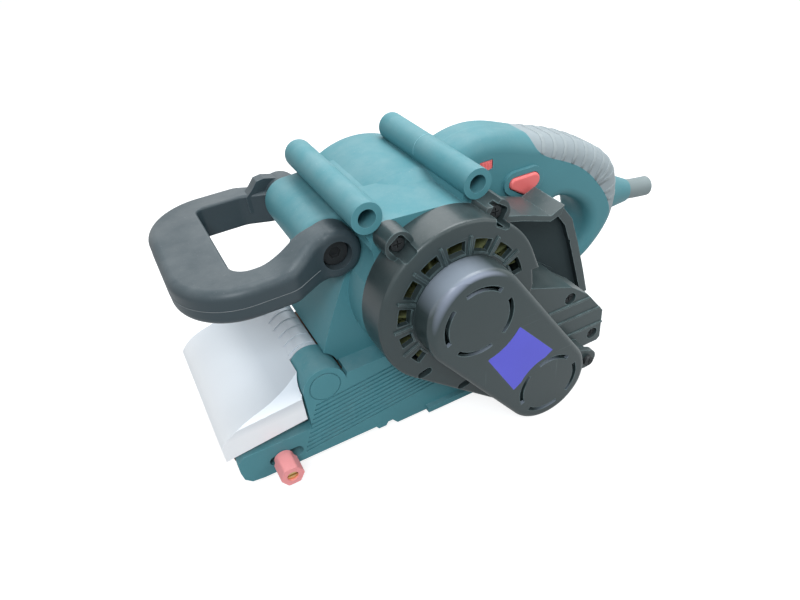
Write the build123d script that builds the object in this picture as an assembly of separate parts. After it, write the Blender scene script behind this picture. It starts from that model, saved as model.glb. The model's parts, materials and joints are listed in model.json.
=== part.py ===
from build123d import *
import math
import os

os.makedirs("parts", exist_ok=True)

# Frame: X forward, Y to the left side with the drive cover, Z up, sanding face at Z = 0
# Points in the side view are written as (X, Z)

# Clearances
RUN = 0.05
BEARING_FIT = 0.02
FREE = 0.4

# Sanding belt and rollers
BELT_W = 75.0
BELT_T = 1.0
DRIVE_R = 26.0
FRONT_R = 18.0
AXLE_REACH = 157.4
DRIVE = (-AXLE_REACH / 2, DRIVE_R + RUN + BELT_T)
FRONT = (AXLE_REACH / 2, FRONT_R + RUN + BELT_T)
SLEEVE_T = 2.0
DRIVE_SHAFT_R = 6.0
DRIVE_BEARING_R = 14.0
AXLE_R = 4.0

# Motor and drive train
MOTOR = (-31.6, 93.9)
BARREL_R = 46.5
BARREL_WALL = 4.0
BELLY_R = 49.6
BELLY_LEFT = 16.0
BELLY_TAPER = 10.0
BARREL_RIGHT = -48.5
BARREL_END_T = 9.5
BARREL_LEFT = 55.0
STATOR_R = 34.0
ARMATURE_R = 23.6
MOTOR_SHAFT_R = 4.0
MOTOR_BEARING_R = 11.0
SMALL_TEETH = 14
LARGE_TEETH = 42
TOOTH_PITCH = 3.0
SMALL_PULLEY_R = SMALL_TEETH * TOOTH_PITCH / (2 * math.pi) - 0.4
LARGE_PULLEY_R = LARGE_TEETH * TOOTH_PITCH / (2 * math.pi) - 0.4
DRIVE_BELT_T = 1.6
PULLEY_Y0 = 79.5
PULLEY_Y1 = 88.0
SHAFT_END = PULLEY_Y1 + 0.3
SHAFT_START = -33.2

# Base frame
WALL_IN = 44.0
WALL_OUT = 51.0
BASE_RIGHT = -40.0
BASE_LOW = 8.0
FLARE_LOW = 4.0
FLARE_OUT = 3.5
FLARE_H = 4.0
LUG_LOW = 5.6
DECK_FRONT = 27.0
REAR_WALL_T = 2.8
DECK_LOW = 55.6
DECK_TOP = 59.0
BASE_REAR = -110.0
BEAM_LOW = 4.2
BEAM_FRONT = 40.0

# Nose cover and its hinge
HINGE = (40.7, 55.4)
KNUCKLE_R = 12.3
KNUCKLE_BORE = 3.0
NOSE_T = 2.2
NOSE_LEFT = 50.0
NOSE_RIGHT = -43.0
KNUCKLE_LEFT = 28.0

# Housing details
TUBE_R = 7.8
TUBE_BORE_R = 4.55
TUBE_RIGHT = -33.2
TUBE_LEFT = 56.8
FRONT_TUBE = (6.0, 147.5)
REAR_TUBE = (-53.0, 146.5)
TUBE_ROUND = 3.0
REAR_TUBE_RIGHT = -37.5
PIVOT = (18.0, 125.0)
PIVOT_R = 13.2
NECK_RIGHT = -31.2
NECK_LEFT = 28.5
BODY_RIGHT = -33.0
BODY_LEFT = 38.5
LUGS = [(-3.5, 135.3), (-57.0, 134.2)]
LUG_R = 7.4
LUG_SEAT = 63.5
LUG_TOP = 68.0
LUG_RECESS = 9.2
HEAD = 2.4
HEAD_R = 3.4
SHANK_R = 1.8

# Drive housing, belt cover
CAP_FACE = 75.0
CAP_T = 3.0
CAP_LOW_R = 26.8
COVER_FACE = 91.0
COVER_UP_R = 28.0
COVER_LOW_R = 26.4
COVER_END = (DRIVE[0] - 0.8, DRIVE[1] - 0.4)
COVER_T = 2.2
COVER_ROUND = 3.6

EAR = (-118.8, 16.8)
EAR_R = 6.8
EAR_T = 4.0

# Rear handle
HANDLE_MID = 3.0
HANDLE_HALF = 17.0

# Cylinders and cones start at their lower end
ALIGN_LOW = (Align.CENTER, Align.CENTER, Align.MIN)


def side_plane(y):
    return Plane(origin=(0, y, 0), x_dir=(1, 0, 0), z_dir=(0, -1, 0))


def prism(face, y0, y1):
    return extrude(side_plane(y1) * face, amount=y1 - y0, dir=(0, -1, 0))


def disc(p, r):
    return Pos(p[0], p[1]) * Circle(r)


def rod(p, r, y0, y1):
    return prism(disc(p, r), y0, y1)


def tube(p, r, bore, y0, y1):
    return prism(disc(p, r) - disc(p, bore), y0, y1)


def poly(*pts):
    return Polygon(*pts, align=None)


def block(x0, x1, y0, y1, z0, z1):
    return Pos((x0 + x1) / 2, (y0 + y1) / 2, (z0 + z1) / 2) * Box(x1 - x0, y1 - y0, z1 - z0)


def polar(p, r, degrees):
    return (p[0] + r * math.cos(math.radians(degrees)), p[1] + r * math.sin(math.radians(degrees)))


def lobe(a, ra, b, rb):
    """Outline round two circles and their outer tangents."""
    lean = math.degrees(math.atan2(b[1] - a[1], b[0] - a[0]))
    turn = math.degrees(math.acos((ra - rb) / math.dist(a, b)))
    a0 = polar(a, ra, lean + turn)
    b0 = polar(b, rb, lean + turn)
    b1 = polar(b, rb, lean - turn)
    a1 = polar(a, ra, lean - turn)
    round_b = ThreePointArc(b0, polar(b, rb, lean), b1)
    round_a = ThreePointArc(a1, polar(a, ra, lean + 180), a0)
    return make_face(Line(a0, b0) + round_b + Line(b1, a1) + round_a)


def sector(p, r0, r1, a0, a1):
    """Part of a ring between two radii and two angles."""
    far = 1.5 * r1
    mid = (a0 + a1) / 2
    wedge = poly(p, polar(p, far, a0), polar(p, far, mid), polar(p, far, a1))
    return (disc(p, r1) - disc(p, r0)) & wedge


def screw(p, y_head, length):
    """Pan head screw along Y with its head on the left."""
    body = rod(p, HEAD_R, y_head - HEAD, y_head) + rod(p, SHANK_R, y_head - length, y_head - HEAD)
    cross = poly((-2.2, -0.4), (2.2, -0.4), (2.2, 0.4), (-2.2, 0.4))
    cross = cross + Rot(0, 0, 90) * cross
    return body - prism(Pos(p[0], p[1]) * cross, y_head - 1.4, y_head + 1)


def save(name, shape):
    solids = shape.solids()
    export_step(solids[0] if len(solids) == 1 else Compound(list(solids)), f"parts/{name}.step")


# Base frame: left wall, deck, rear wall and the beam inside the belt loop
wall_face = poly(
    (BASE_REAR, 20), (-99, BASE_LOW), (-58, BASE_LOW), (-50, FLARE_LOW), (2, FLARE_LOW), (5, BASE_LOW),
    (8, BASE_LOW), (9.5, LUG_LOW), (14.5, LUG_LOW), (16, BASE_LOW), (86, BASE_LOW), (93, 9), (96.6, 13),
    (97.4, 19), (97.0, 26), (93, 29.5), (53, 29.5), (53, HINGE[1]), (28.4, HINGE[1]), (DECK_FRONT, DECK_TOP),
    (BASE_REAR, DECK_TOP),
)
base = prism(wall_face, WALL_IN, WALL_OUT)
base += block(-50, -18, WALL_IN, WALL_OUT + FLARE_OUT, FLARE_LOW, FLARE_LOW + FLARE_H)
base += rod(HINGE, KNUCKLE_R, KNUCKLE_LEFT + FREE, WALL_OUT)
base += prism(poly((28.4, 44), (53, 44), (53, HINGE[1]), (28.4, HINGE[1])), KNUCKLE_LEFT + FREE, WALL_OUT)
base += block(BASE_REAR, DECK_FRONT, BASE_RIGHT, WALL_IN, DECK_LOW, DECK_TOP)
base += block(BASE_REAR, BASE_REAR + REAR_WALL_T, BASE_RIGHT, WALL_IN, 14, DECK_LOW)
EYE_R = 6.0
LUG_OUT = NOSE_RIGHT - 0.6
right_lug = poly(
    (18, DECK_LOW), (HINGE[0], HINGE[1] - EYE_R), (HINGE[0], HINGE[1] + EYE_R), (DECK_FRONT, DECK_TOP),
    (18, DECK_TOP),
)
base += prism(right_lug + disc(HINGE, EYE_R), LUG_OUT, BASE_RIGHT)
base += block(-20, DECK_FRONT, LUG_OUT, BASE_RIGHT, DECK_LOW, DECK_TOP)
BEAM_REAR = -50.0
BEAM_TOP = 34.0
SOLE_RIGHT = -36.0
SOLE_LEFT = 37.0
base += block(BEAM_REAR, BEAM_FRONT, SOLE_RIGHT, WALL_IN, BEAM_LOW, BEAM_TOP)
base += tube(DRIVE, DRIVE_BEARING_R + 4, DRIVE_BEARING_R, 39.5, WALL_OUT)
base -= rod(DRIVE, DRIVE_BEARING_R, 41, WALL_OUT + 1)
base -= rod(DRIVE, DRIVE_SHAFT_R + 2, 30, WALL_OUT + 1)
# Channel for the yoke bar, its spring and the lever shaft
BAR_HALF = 8.5
BAR_LOW = 12.0
BAR_TOP = 26.0
BAR_REAR = 14.0
BAR_MID = (BAR_LOW + BAR_TOP) / 2
SPRING_REAR = -24.0
CRANK_X = 28.0
base -= block(SPRING_REAR, BEAM_FRONT + 1, -BAR_HALF - FREE, BAR_HALF + FREE, BAR_LOW - FREE, BAR_TOP + FREE)
LEVER_SHAFT_R = 5.5
base -= rod((CRANK_X, BAR_MID), LEVER_SHAFT_R + RUN, SOLE_RIGHT - 1, -BAR_HALF)
# Hinge pin bore, tracking slot, dust inlet
base -= rod(HINGE, KNUCKLE_BORE, -60, WALL_OUT - 4)
SLOT = ((64.6, 17.1), (77.4, 17.1))
SLOT_HALF = 3.6
base -= prism(lobe(SLOT[0], SLOT_HALF, SLOT[1], SLOT_HALF - 0.001), WALL_IN - 1, WALL_OUT + 1)
base -= block(BASE_REAR - 1, BASE_REAR + 4, 31, 43, 26, 46)
# Raised cap ring and lengthwise grooves on the left face
base -= tube(HINGE, 9.2, 8.4, WALL_OUT - 0.7, WALL_OUT + 1)
GROOVES = 11
GROOVE_STEP = 3.1
GROOVE_LEAN = -0.115
GROOVE_W = 1.4
GROOVE_REAR = -30.0
for i in range(GROOVES):
    z = 13.0 + GROOVE_STEP * i
    x0 = 60.0 - 1.2 * i
    rise = GROOVE_LEAN * (GROOVE_REAR - x0)
    strip = poly((x0, z), (GROOVE_REAR, z + rise), (GROOVE_REAR, z + rise + GROOVE_W), (x0, z + GROOVE_W))
    base -= prism(strip, WALL_OUT - 1.0, WALL_OUT + 1)
# Screw holes under the drive housing and below the platen
LOW_SCREWS = [(-46.0, 46.0), (-66.0, 54.0)]
for p in LOW_SCREWS:
    base -= rod(p, SHANK_R, WALL_IN - 1, WALL_OUT + 1)
SOLE_SCREW_R = 1.6
PLATEN_SCREWS = [(-38, -22), (-38, 26), (32, -22), (32, 26)]
for x, y in PLATEN_SCREWS:
    base -= Pos(x, y, BEAM_LOW - 1) * Cylinder(SOLE_SCREW_R, 9, align=ALIGN_LOW)
save("base", base)

# Sole plate and its cushion
PAD_T = 1.5
PLATEN_T = BEAM_LOW - BELT_T - 0.3 - PAD_T
SOLE_REAR = -49.0
SOLE_FRONT = 56.0
platen = block(SOLE_REAR, SOLE_FRONT, SOLE_RIGHT, SOLE_LEFT, BEAM_LOW - PLATEN_T, BEAM_LOW)
platen_screws = []
for x, y in PLATEN_SCREWS:
    sunk = Pos(x, y, BEAM_LOW - PLATEN_T) * Cone(3.0, SOLE_SCREW_R, PLATEN_T, align=ALIGN_LOW)
    platen -= sunk
    platen_screws.append(sunk + Pos(x, y, BEAM_LOW) * Cylinder(SOLE_SCREW_R, 7, align=ALIGN_LOW))
save("platen", platen)
save("platen_screws", Compound(platen_screws))
pad_top = BEAM_LOW - PLATEN_T
save("platen_pad", block(SOLE_REAR, SOLE_FRONT, SOLE_RIGHT, SOLE_LEFT, pad_top - PAD_T, pad_top))

# Sanding belt
belt_out = lobe(DRIVE, DRIVE_R + RUN + BELT_T, FRONT, FRONT_R + RUN + BELT_T)
belt_in = lobe(DRIVE, DRIVE_R + RUN, FRONT, FRONT_R + RUN)
save("sanding_belt", prism(belt_out - belt_in, -BELT_W / 2, BELT_W / 2))

# Drive roller on its shaft
roller = rod(DRIVE, DRIVE_R - SLEEVE_T, -37, 37)
roller -= tube(DRIVE, 20, 10, -38, -12)
roller += rod(DRIVE, DRIVE_SHAFT_R, 37, SHAFT_END)
roller += rod(DRIVE, DRIVE_SHAFT_R + 2, 37, 40.5)
save("drive_roller", roller)
save("drive_sleeve", tube(DRIVE, DRIVE_R, DRIVE_R - SLEEVE_T, -37, 37))
bearing_a = tube(DRIVE, DRIVE_BEARING_R, DRIVE_SHAFT_R + BEARING_FIT, 41, 49)
bearing_b = tube(DRIVE, DRIVE_BEARING_R, DRIVE_SHAFT_R + BEARING_FIT, 64, 72)
save("drive_bearings", Compound([bearing_a.solid(), bearing_b.solid()]))

# Front roller, axle and yoke
ARM_IN = 35.0
ARM_OUT = 39.5
front_roller = tube(FRONT, FRONT_R, AXLE_R + RUN, -ARM_IN + FREE, ARM_IN - FREE)
front_roller -= tube(FRONT, 15, 9, -ARM_IN, -22)
front_roller -= tube(FRONT, 15, 9, 22, ARM_IN)
save("front_roller", front_roller)
AXLE_END_R = 3.0
save("front_axle", rod(FRONT, AXLE_R, -ARM_IN, ARM_IN) + rod(FRONT, AXLE_END_R, -ARM_OUT, ARM_OUT))
TRACK = (73.0, 17.1)
TRACK_R = 2.5
HEAD_X = 49.0
HEAD_T = 7.0
HEAD_LOW = 9.0
HEAD_TOP = 29.0
EYE_ARM_R = 10.0
arm_face = poly(
    (HEAD_X, HEAD_LOW), (HEAD_X + HEAD_T, HEAD_LOW), (FRONT[0], FRONT[1] - EYE_ARM_R),
    (FRONT[0], FRONT[1] + EYE_ARM_R), (HEAD_X + HEAD_T, HEAD_TOP), (HEAD_X, HEAD_TOP),
)
arm_face = arm_face + disc(FRONT, EYE_ARM_R)
yoke = prism(arm_face, ARM_IN, ARM_OUT) + prism(arm_face, -ARM_OUT, -ARM_IN)
yoke += block(HEAD_X, HEAD_X + HEAD_T, -ARM_OUT, ARM_OUT, HEAD_LOW, HEAD_TOP)
yoke += block(BAR_REAR, HEAD_X, -BAR_HALF, BAR_HALF, BAR_LOW, BAR_TOP)
yoke -= rod(FRONT, AXLE_END_R, -50, 50)
yoke -= rod(TRACK, TRACK_R + RUN, ARM_IN - 1, ARM_OUT + 1)
SPRING_R = 5.0
SPRING_SEAT = 6.0
yoke -= Pos(BAR_REAR, 0, BAR_MID) * Rot(0, 90, 0) * Cylinder(SPRING_R + 1.2, 2 * SPRING_SEAT)
# Crank slot for the tension lever
PIN_R = 2.5
THROW = 4.5
PIN_START = 28.0
PIN_DEPTH = 4.0
PIN_PLAY = 0.7
pin_x = CRANK_X + THROW * math.cos(math.radians(PIN_START))
slot_half = PIN_R + PIN_PLAY
yoke -= block(pin_x - slot_half, pin_x + slot_half, -BAR_HALF - 1, -PIN_DEPTH, BAR_LOW - 1, BAR_TOP + 1)
save("yoke", yoke)

# Tension spring between the channel end and the yoke bar
WIRE_R = 0.9
TURNS = 7
spring_len = BAR_REAR + SPRING_SEAT - SPRING_REAR - 2 * WIRE_R
pitch = spring_len / TURNS


def coil_point(turn):
    a = 2 * math.pi * turn
    x = SPRING_REAR + WIRE_R + pitch * turn
    return Vector(x, SPRING_R * math.sin(a), BAR_MID + SPRING_R * math.cos(a))


def coil_way(turn):
    a = 2 * math.pi * turn
    run = 2 * math.pi * SPRING_R
    return Vector(pitch, run * math.cos(a), -run * math.sin(a)).normalized()


coil = []
for i in range(4 * TURNS):
    p0 = coil_point(i / 4)
    p1 = coil_point((i + 1) / 4)
    t0 = coil_way(i / 4)
    t1 = coil_way((i + 1) / 4)
    chord = p1 - p0
    bend = 2 * (1 - t0.dot(t1))
    lead = chord.dot(t0 + t1)
    reach = (math.sqrt(lead * lead + bend * chord.dot(chord)) - lead) / bend
    q0 = p0 + t0 * reach
    q1 = p1 - t1 * reach
    middle = (q0 + q1) * 0.5
    coil.append(Edge.make_tangent_arc(p0, t0, middle))
    coil.append(Edge.make_tangent_arc(middle, (q1 - q0).normalized(), p1))
coil_path = Wire(coil)
coil_start = Plane(origin=coil_point(0), z_dir=coil_way(0))
spring = sweep(coil_start * Circle(WIRE_R), path=coil_path, is_frenet=True)
print("spring self gap", round(pitch - 2 * WIRE_R, 2))
save("tension_spring", spring)

# Tension lever on the open right side
LEVER_Y0 = -ARM_OUT - 4.0
LEVER_T = 3.6
LEVER_Y1 = -36.5
LEVER_ARM = 26.0
CRANK = (CRANK_X, BAR_MID)
lever = prism(lobe(CRANK, 8.5, (CRANK_X - LEVER_ARM, BAR_MID), 5), LEVER_Y0, LEVER_Y0 + LEVER_T)
lever += rod(CRANK, LEVER_SHAFT_R + 2, LEVER_Y0, LEVER_Y1)
lever += rod(CRANK, LEVER_SHAFT_R, LEVER_Y1, -BAR_HALF - FREE)
lever += rod(polar(CRANK, THROW, -PIN_START), PIN_R, -BAR_HALF - FREE, -PIN_DEPTH - FREE)
save("tension_lever", lever)

# Tracking knob with its brass screw
KNOB_R = 7.0
KNOB_Y0 = WALL_OUT + FREE
KNOB_Y1 = KNOB_Y0 + 15.0
knob_face = Pos(*TRACK) * RegularPolygon(KNOB_R, 6)
knob = prism(fillet(knob_face.vertices(), 1.8), KNOB_Y0 + 3, KNOB_Y1) + rod(TRACK, 5.6, KNOB_Y0, KNOB_Y0 + 3)
knob -= rod(TRACK, TRACK_R + 0.8, KNOB_Y0 - 1, KNOB_Y1 + 1)
save("tracking_knob", knob)
track_screw = rod(TRACK, TRACK_R, ARM_IN + 0.5, KNOB_Y0) + rod(TRACK, TRACK_R + 0.8, KNOB_Y0, KNOB_Y1 - 1.2)
track_screw -= block(TRACK[0] - 4, TRACK[0] + 4, KNOB_Y1 - 2.4, KNOB_Y1, TRACK[1] - 0.6, TRACK[1] + 0.6)
save("tracking_screw", track_screw)

# Nose cover
NOSE_FRONT = 101.7
NOSE_LOW = 31.0
nose_top = Spline((NOSE_FRONT, 40.5), (94.0, 47.8), (74.0, 54.0), (52.0, 62.5), (45.0, 67.0))
nose_under = Spline((48.0, 62.2), (62.0, 55.5), (86.0, 48.4), (NOSE_FRONT - NOSE_T, 39.8))


def nose_face(*rest):
    """Face between the top line of the nose and a lower outline, given from rear to front."""
    return make_face([nose_top, Polyline(nose_top @ 1, *rest, nose_top @ 0)])


front_edge = Polyline(nose_under @ 1, (NOSE_FRONT - NOSE_T, NOSE_LOW), (NOSE_FRONT, NOSE_LOW), nose_top @ 0)
nose_skin = make_face([nose_top, Line(nose_top @ 1, nose_under @ 0), nose_under, front_edge])
nose = prism(nose_skin, NOSE_RIGHT, NOSE_LEFT)
side_face = nose_face((46.0, 62.0), (54.2, 53.0), (54.2, 36.8), (NOSE_FRONT, NOSE_LOW))
nose += prism(side_face, NOSE_LEFT - NOSE_T, NOSE_LEFT)
nose += prism(nose_face((53.5, 56.0), (74.0, 48.0), (99.0, 38.0)), NOSE_RIGHT, NOSE_RIGHT + NOSE_T)
# The left corner is folded down, more towards the hinge
FOLD_FRONT = (100.0, NOSE_LEFT, 48.6)
FOLD_REAR = (53.0, NOSE_LEFT, 52.5)
fold_line = Vector(*FOLD_FRONT) - Vector(*FOLD_REAR)
fold_out = fold_line.cross(Vector(0, 1, -1))
fold_out = fold_out if fold_out.Z > 0 else fold_out * -1
fold = Plane(origin=FOLD_REAR, x_dir=fold_line, z_dir=fold_out)
above = Box(160, 80, 30, align=ALIGN_LOW)
corner = prism(nose_face((46.0, 62.0), (54.2, 53.0), (54.2, 40.0), (99.0, 38.0)), NOSE_LEFT - 16, NOSE_LEFT)
nose += corner & (fold.offset(-NOSE_T) * above)
nose -= fold * above
KNUCKLE_RIGHT = NOSE_RIGHT + 3.4
KNUCKLE_T = 2.4
KNUCKLE_PLAY = 0.7
nose += prism(sector(HINGE, KNUCKLE_R - KNUCKLE_T, KNUCKLE_R, -8, 118), KNUCKLE_RIGHT, KNUCKLE_LEFT)
nose -= rod(HINGE, KNUCKLE_R - KNUCKLE_T, KNUCKLE_RIGHT, KNUCKLE_LEFT)
nose -= rod(HINGE, KNUCKLE_R + KNUCKLE_PLAY, KNUCKLE_LEFT, NOSE_LEFT + 1)
nose -= rod(HINGE, KNUCKLE_R + KNUCKLE_PLAY, NOSE_RIGHT - 1, KNUCKLE_RIGHT)
# Hinge eyes inside the knuckle
EYE_T = 4.0
web_face = poly(HINGE, *[polar(HINGE, KNUCKLE_R - 1, a) for a in (20, 50, 90)])
for y in (KNUCKLE_RIGHT, -6, KNUCKLE_LEFT - EYE_T):
    nose += prism(disc(HINGE, EYE_R) + web_face - disc(HINGE, KNUCKLE_BORE + RUN), y, y + EYE_T)
RIB_COUNT = 8
RIB_STEP = 8.6
for i in range(RIB_COUNT):
    y = KNUCKLE_LEFT - 4.6 - RIB_STEP * i
    nose += prism(sector(HINGE, KNUCKLE_R - 1, KNUCKLE_R + 0.6, 24, 112), y, y + 2.2)
save("nose_cover", nose)
save("hinge_pin", rod(HINGE, KNUCKLE_BORE, LUG_OUT, WALL_OUT - 4))

# Motor housing: barrel, front body, cross tubes and screw bosses
# The drive housing is cut back at the rear, where the duct's foot reaches under the belt cover
REAR_CUT = poly((-74, 80.1), (-76.4, 89), (-75.4, 98), (-92, 98), (-125.3, 47.7), (-105.9, 34.0))


def cap_outline(up_r, low_r):
    inset_by = BARREL_R - up_r
    behind = offset(REAR_CUT, inset_by) if inset_by > 0 else REAR_CUT
    return lobe(MOTOR, up_r, DRIVE, low_r) - behind


barrel = rod(MOTOR, BELLY_R, BARREL_RIGHT, BELLY_LEFT)
barrel = fillet(barrel.edges().group_by(Axis.Y)[0], 6.0)
taper_plane = Plane(origin=(MOTOR[0], BELLY_LEFT, MOTOR[1]), x_dir=(1, 0, 0), z_dir=(0, 1, 0))
barrel += taper_plane * Cone(BELLY_R, BARREL_R, BELLY_TAPER, align=ALIGN_LOW)
barrel += rod(MOTOR, BARREL_R, BELLY_LEFT + BELLY_TAPER, BARREL_LEFT)
# The lower front slopes back to the barrel, and the neck carries the front handle
slope_face = poly(
    (MOTOR[0], DECK_TOP), (33.6, DECK_TOP), (34.2, 68), (27.5, 84), (18, 104), (10, 118), (MOTOR[0], 125),
)
NECK_TOP = PIVOT[1] + PIVOT_R
NECK_ROUND = 4.0
neck_face = lobe(MOTOR, BARREL_R, PIVOT, PIVOT_R)
neck_face = neck_face - poly((-60, 40), (40, 40), (40, 106), (20, 106), (12, 112), (-60, 112))
housing = barrel + prism(slope_face, BODY_RIGHT, BODY_LEFT)
housing += prism(lobe(MOTOR, BARREL_R, LUGS[0], LUG_R - FREE), BELLY_LEFT, BARREL_LEFT)
for y0, y1 in ((BARREL_RIGHT - 1, NECK_RIGHT), (NECK_LEFT, BARREL_LEFT + 1)):
    housing -= rod(PIVOT, PIVOT_R + FREE, y0, y1)
neck = prism(neck_face, NECK_RIGHT, NECK_LEFT)
neck_ends = neck.edges().group_by(Axis.Y)
neck_rim = [e for e in neck_ends[0] + neck_ends[-1] if e.center().Z > NECK_TOP - 1]
housing += fillet(neck_rim, NECK_ROUND)
TUBE_WEB = 4.5
for p, end, foot in ((FRONT_TUBE, TUBE_RIGHT, (-4, 126)), (REAR_TUBE, REAR_TUBE_RIGHT, (-50, 130))):
    cross_tube = rod(p, TUBE_R, end, TUBE_LEFT)
    housing += fillet(cross_tube.edges().group_by(Axis.Y)[0], TUBE_ROUND)
    housing += prism(lobe(p, TUBE_WEB, foot, TUBE_WEB + 1), TUBE_RIGHT + 2 * TUBE_ROUND, BARREL_LEFT - 2)
for p in LUGS:
    housing += rod(p, LUG_R - FREE, 18, BARREL_LEFT)
housing -= rod(MOTOR, BARREL_R - BARREL_WALL, BARREL_RIGHT + BARREL_END_T, BARREL_LEFT + 5)
hollow = poly((-5, 55), (30, 55), (30.4, 67), (24, 83), (15, 101), (-5, 112))
housing -= prism(hollow, BODY_RIGHT + 3.5, BODY_LEFT - 3.5)
housing += rod(MOTOR, MOTOR_BEARING_R + 3, BARREL_RIGHT + 1, -26)
housing -= rod(MOTOR, MOTOR_BEARING_R, -33.5, -20)
RIB_ANGLES = [40, 140, 220, 320]
RIB_OUT_R = BARREL_R - BARREL_WALL / 2
for a in RIB_ANGLES:
    rib = Pos((STATOR_R + RIB_OUT_R) / 2, 0) * Rectangle(RIB_OUT_R - STATOR_R, 6)
    housing += prism(Pos(*MOTOR) * Rot(0, 0, a) * rib, -4, 44)
housing -= block(-200, 200, -100, 100, -10, DECK_TOP)
housing -= rod(HINGE, KNUCKLE_R + 0.9, -100, 100)
for p in (FRONT_TUBE, REAR_TUBE):
    housing -= rod(p, TUBE_BORE_R, -100, 100)
for p in LUGS:
    housing -= rod(p, SHANK_R, 30, 100)
# Air slots in the right end
for a in range(0, 360, 20):
    if 215 < a < 325:
        continue
    slot = Pos(*MOTOR) * Rot(0, 0, a) * Pos(27, 0) * SlotOverall(18, 4)
    housing -= prism(slot, BARREL_RIGHT - 1, BARREL_RIGHT + BARREL_END_T + 1)
BOLT_R = 4.0
housing -= rod(PIVOT, BOLT_R, -100, -8)
housing -= rod(PIVOT, BOLT_R, 12, 100)
save("motor_housing", housing)

# Motor
stator = tube(MOTOR, STATOR_R, ARMATURE_R + 0.6, -2, 42)
for a in (0, 180):
    stator -= prism(sector(MOTOR, ARMATURE_R, STATOR_R - 4.5, a - 28, a + 28), -3, 43)
save("stator", stator)
coils = []
for a in (0, 180):
    coils.append(prism(sector(MOTOR, ARMATURE_R + 1.0, STATOR_R - 5.0, a - 27, a + 27), -11, 51).solid())
save("field_coils", Compound(coils))
armature = rod(MOTOR, ARMATURE_R, 0, 40)
for i in range(12):
    slot_at = polar(MOTOR, ARMATURE_R - 3, 30 * i)
    armature -= rod(slot_at, 2.0, -1, 41)
armature += rod(MOTOR, MOTOR_SHAFT_R, SHAFT_START, SHAFT_END)
armature += rod(MOTOR, 16, -6, 0) + rod(MOTOR, 16, 40, 46)
save("armature", armature)
save("commutator", tube(MOTOR, 12, MOTOR_SHAFT_R, -24, -8))
brushes = []
holders = []
for side in (-1, 1):
    x0, x1 = sorted((MOTOR[0] + side * 12.2, MOTOR[0] + side * 30))
    h0, h1 = sorted((MOTOR[0] + side * 17, MOTOR[0] + side * 41.5))
    brush = block(x0, x1, -20, -13, MOTOR[1] - 4, MOTOR[1] + 4)
    holder = block(h0, h1, -22, -11, MOTOR[1] - 6, MOTOR[1] + 6)
    brushes.append((brush - rod(MOTOR, 12, -30, 0)).solid())
    holders.append((holder - block(x0, x1, -20, -13, MOTOR[1] - 4, MOTOR[1] + 4)).solid())
save("brushes", Compound(brushes))
save("brush_holders", Compound(holders))
FAN_R = 40.0
fan = tube(MOTOR, FAN_R, MOTOR_SHAFT_R, 57, 58.5) + tube(MOTOR, 9, MOTOR_SHAFT_R, 57, 66)
for i in range(18):
    blade = Pos(*MOTOR) * Rot(0, 0, 20 * i) * Pos(25, 0) * Rot(0, 0, 18) * Rectangle(27, 1.3)
    fan += prism(blade, 58, 68)
fan = fan & rod(MOTOR, FAN_R, 50, 80)
save("fan", fan)
motor_bearings = []
for y in (-33.5, 70.5):
    motor_bearings.append(tube(MOTOR, MOTOR_BEARING_R, MOTOR_SHAFT_R + BEARING_FIT, y, y + 7).solid())
save("motor_bearings", Compound(motor_bearings))

# Drive housing on the left
cap = prism(cap_outline(BARREL_R, CAP_LOW_R), WALL_OUT, CAP_FACE)
cap = fillet(cap.edges().group_by(Axis.Y)[-1], 2.0)
for p in LUGS:
    cap += rod(p, LUG_R, BARREL_LEFT, LUG_TOP)
cap -= prism(cap_outline(BARREL_R - CAP_T, CAP_LOW_R - CAP_T), WALL_OUT - 1, CAP_FACE - CAP_T)
cap -= rod(MOTOR, BARREL_R, WALL_OUT - 1, BARREL_LEFT)
cap += tube(MOTOR, MOTOR_BEARING_R + 3, MOTOR_BEARING_R, CAP_FACE - CAP_T - 2, 77.5)
cap -= rod(MOTOR, MOTOR_BEARING_R, 60, 77.5)
cap += tube(MOTOR, MOTOR_BEARING_R + 3, MOTOR_SHAFT_R + 2, 77.5, 78.7)
cap += tube(DRIVE, DRIVE_BEARING_R + 3, DRIVE_BEARING_R, 62, CAP_FACE - CAP_T)
cap -= rod(DRIVE, DRIVE_SHAFT_R + 2, 60, 80)
WINDOWS = 9
WINDOW_FIRST = -38.0
WINDOW_STEP = 24.8
WINDOW_IN_R = 30.6
WINDOW_OUT_R = 37.0
LIP = 1.0
for i in range(WINDOWS):
    a = WINDOW_FIRST + WINDOW_STEP * i
    half = 5.5 if i < 2 else 8.0
    cap -= prism(sector(MOTOR, WINDOW_IN_R, WINDOW_OUT_R, a - half, a + half), 60, CAP_FACE + 5)
    lip = sector(MOTOR, WINDOW_IN_R - LIP, WINDOW_IN_R, a - half, a + half)
    cap += prism(lip, CAP_FACE - 1, CAP_FACE + LIP)
for i in range(1, WINDOWS):
    a = WINDOW_FIRST + WINDOW_STEP * (i - 0.5)
    fin = Pos(*MOTOR) * Rot(0, 0, a) * Pos(34.0, 0) * Rectangle(10, 1.4)
    cap += prism(fin, CAP_FACE - 1, CAP_FACE + LIP)
# Screw wells under the belt cover
WELL_R = 4.0
WELL_T = 1.5
LOW_SEAT = WALL_OUT + 3.0
for p in LOW_SCREWS:
    cap += rod(p, WELL_R + WELL_T, WALL_OUT, CAP_FACE - 1)
    cap -= rod(p, WELL_R, LOW_SEAT, CAP_FACE + 5)
    cap -= rod(p, SHANK_R, WALL_OUT - 1, CAP_FACE + 5)
# Two oval drain slots low in the face
DRAIN_SLOTS = [(-7.5, 59.5), (-31.6, 38.5)]
for p in DRAIN_SLOTS:
    cap -= prism(Pos(*p) * Rot(0, 0, -14) * SlotOverall(8.5, 4.4), CAP_FACE - 2 * CAP_T, CAP_FACE + 5)
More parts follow.
